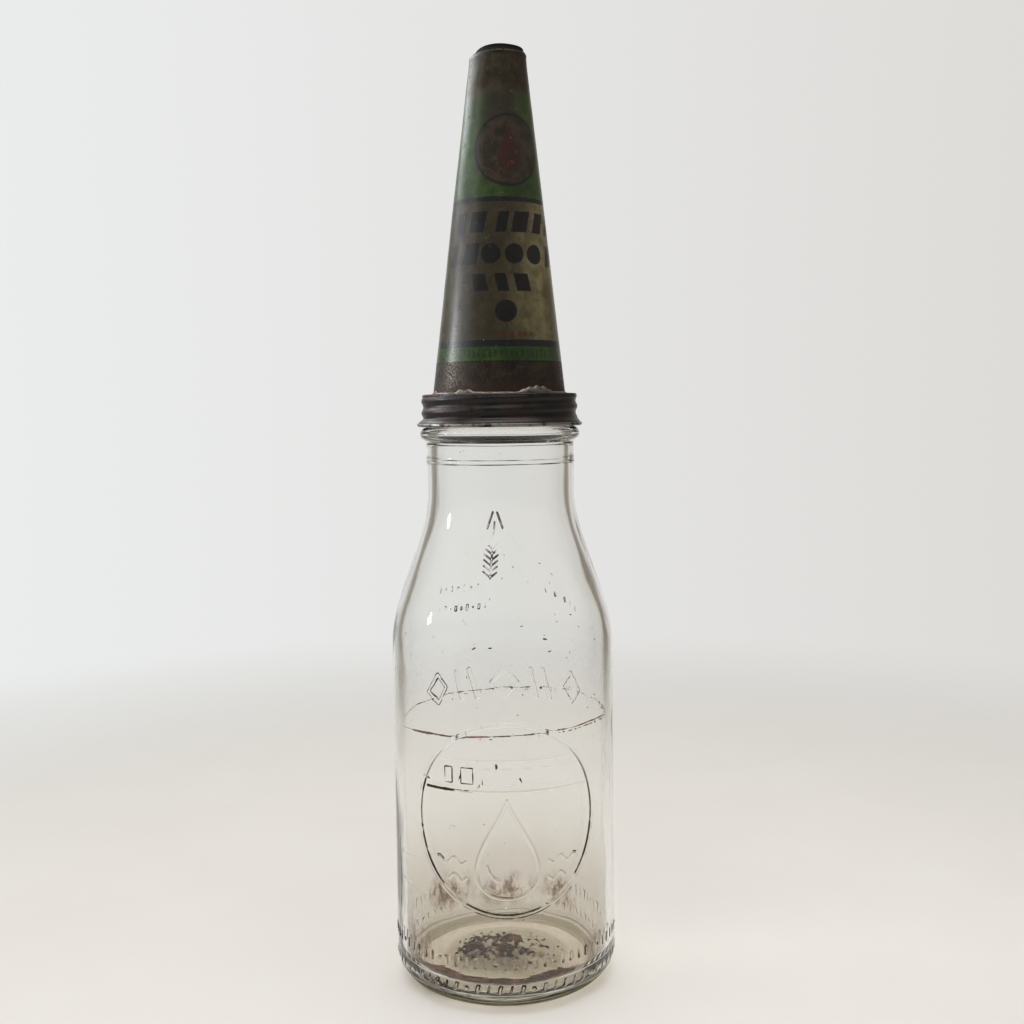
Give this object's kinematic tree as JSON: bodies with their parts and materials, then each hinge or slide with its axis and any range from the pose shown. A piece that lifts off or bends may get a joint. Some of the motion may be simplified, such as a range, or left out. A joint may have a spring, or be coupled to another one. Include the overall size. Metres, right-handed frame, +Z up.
{
  "type": "oil bottle",
  "caption": "Tall glass oil bottle with a sloping shoulder, a screw-on rolled tin collar and a conical tin pourer spout.",
  "frame": {"origin": "centre of the base, on the plane that the bottle stands on", "axes": "+Z up along the bottle's axis, front with the raised ring and the full mark facing -Y, the cone's lap seam at +Y"},
  "size_m": [0.0972, 0.0977, 0.402],
  "materials": {
    "glass": "clear moulded glass with a faint grey-green tint, oily on the inside",
    "cork": "oil-soaked cork",
    "dark_tin": "dark oxidised tinplate with brown rust",
    "printed_tin": "worn printed tinplate, rusted at the tip and foot",
    "solder": "dull tarnished solder"
  },
  "bodies": {
    "bottle": {"bottle": "glass"},
    "gasket": {"gasket": "cork"},
    "pourer": {"screw_collar": "dark_tin", "pourer_cone": "printed_tin", "collar_solder": "solder", "seam_solder": "solder"}
  },
  "joints": [
    {"name": "pourer_lift", "type": "slide", "parent": "bottle", "child": "gasket", "axis": [0, 0, 1], "range_m": [0, 0.01525]},
    {"name": "pourer_turn", "type": "hinge", "parent": "gasket", "child": "pourer", "pos_m": [0, 0, 0.25], "axis": [0, 0, 1], "range_deg": [0, 1080]}
  ],
  "couplings": [
    {"joint": "pourer_lift", "follows": "pourer_turn", "m_per_rad": 0.00080851}
  ]
}
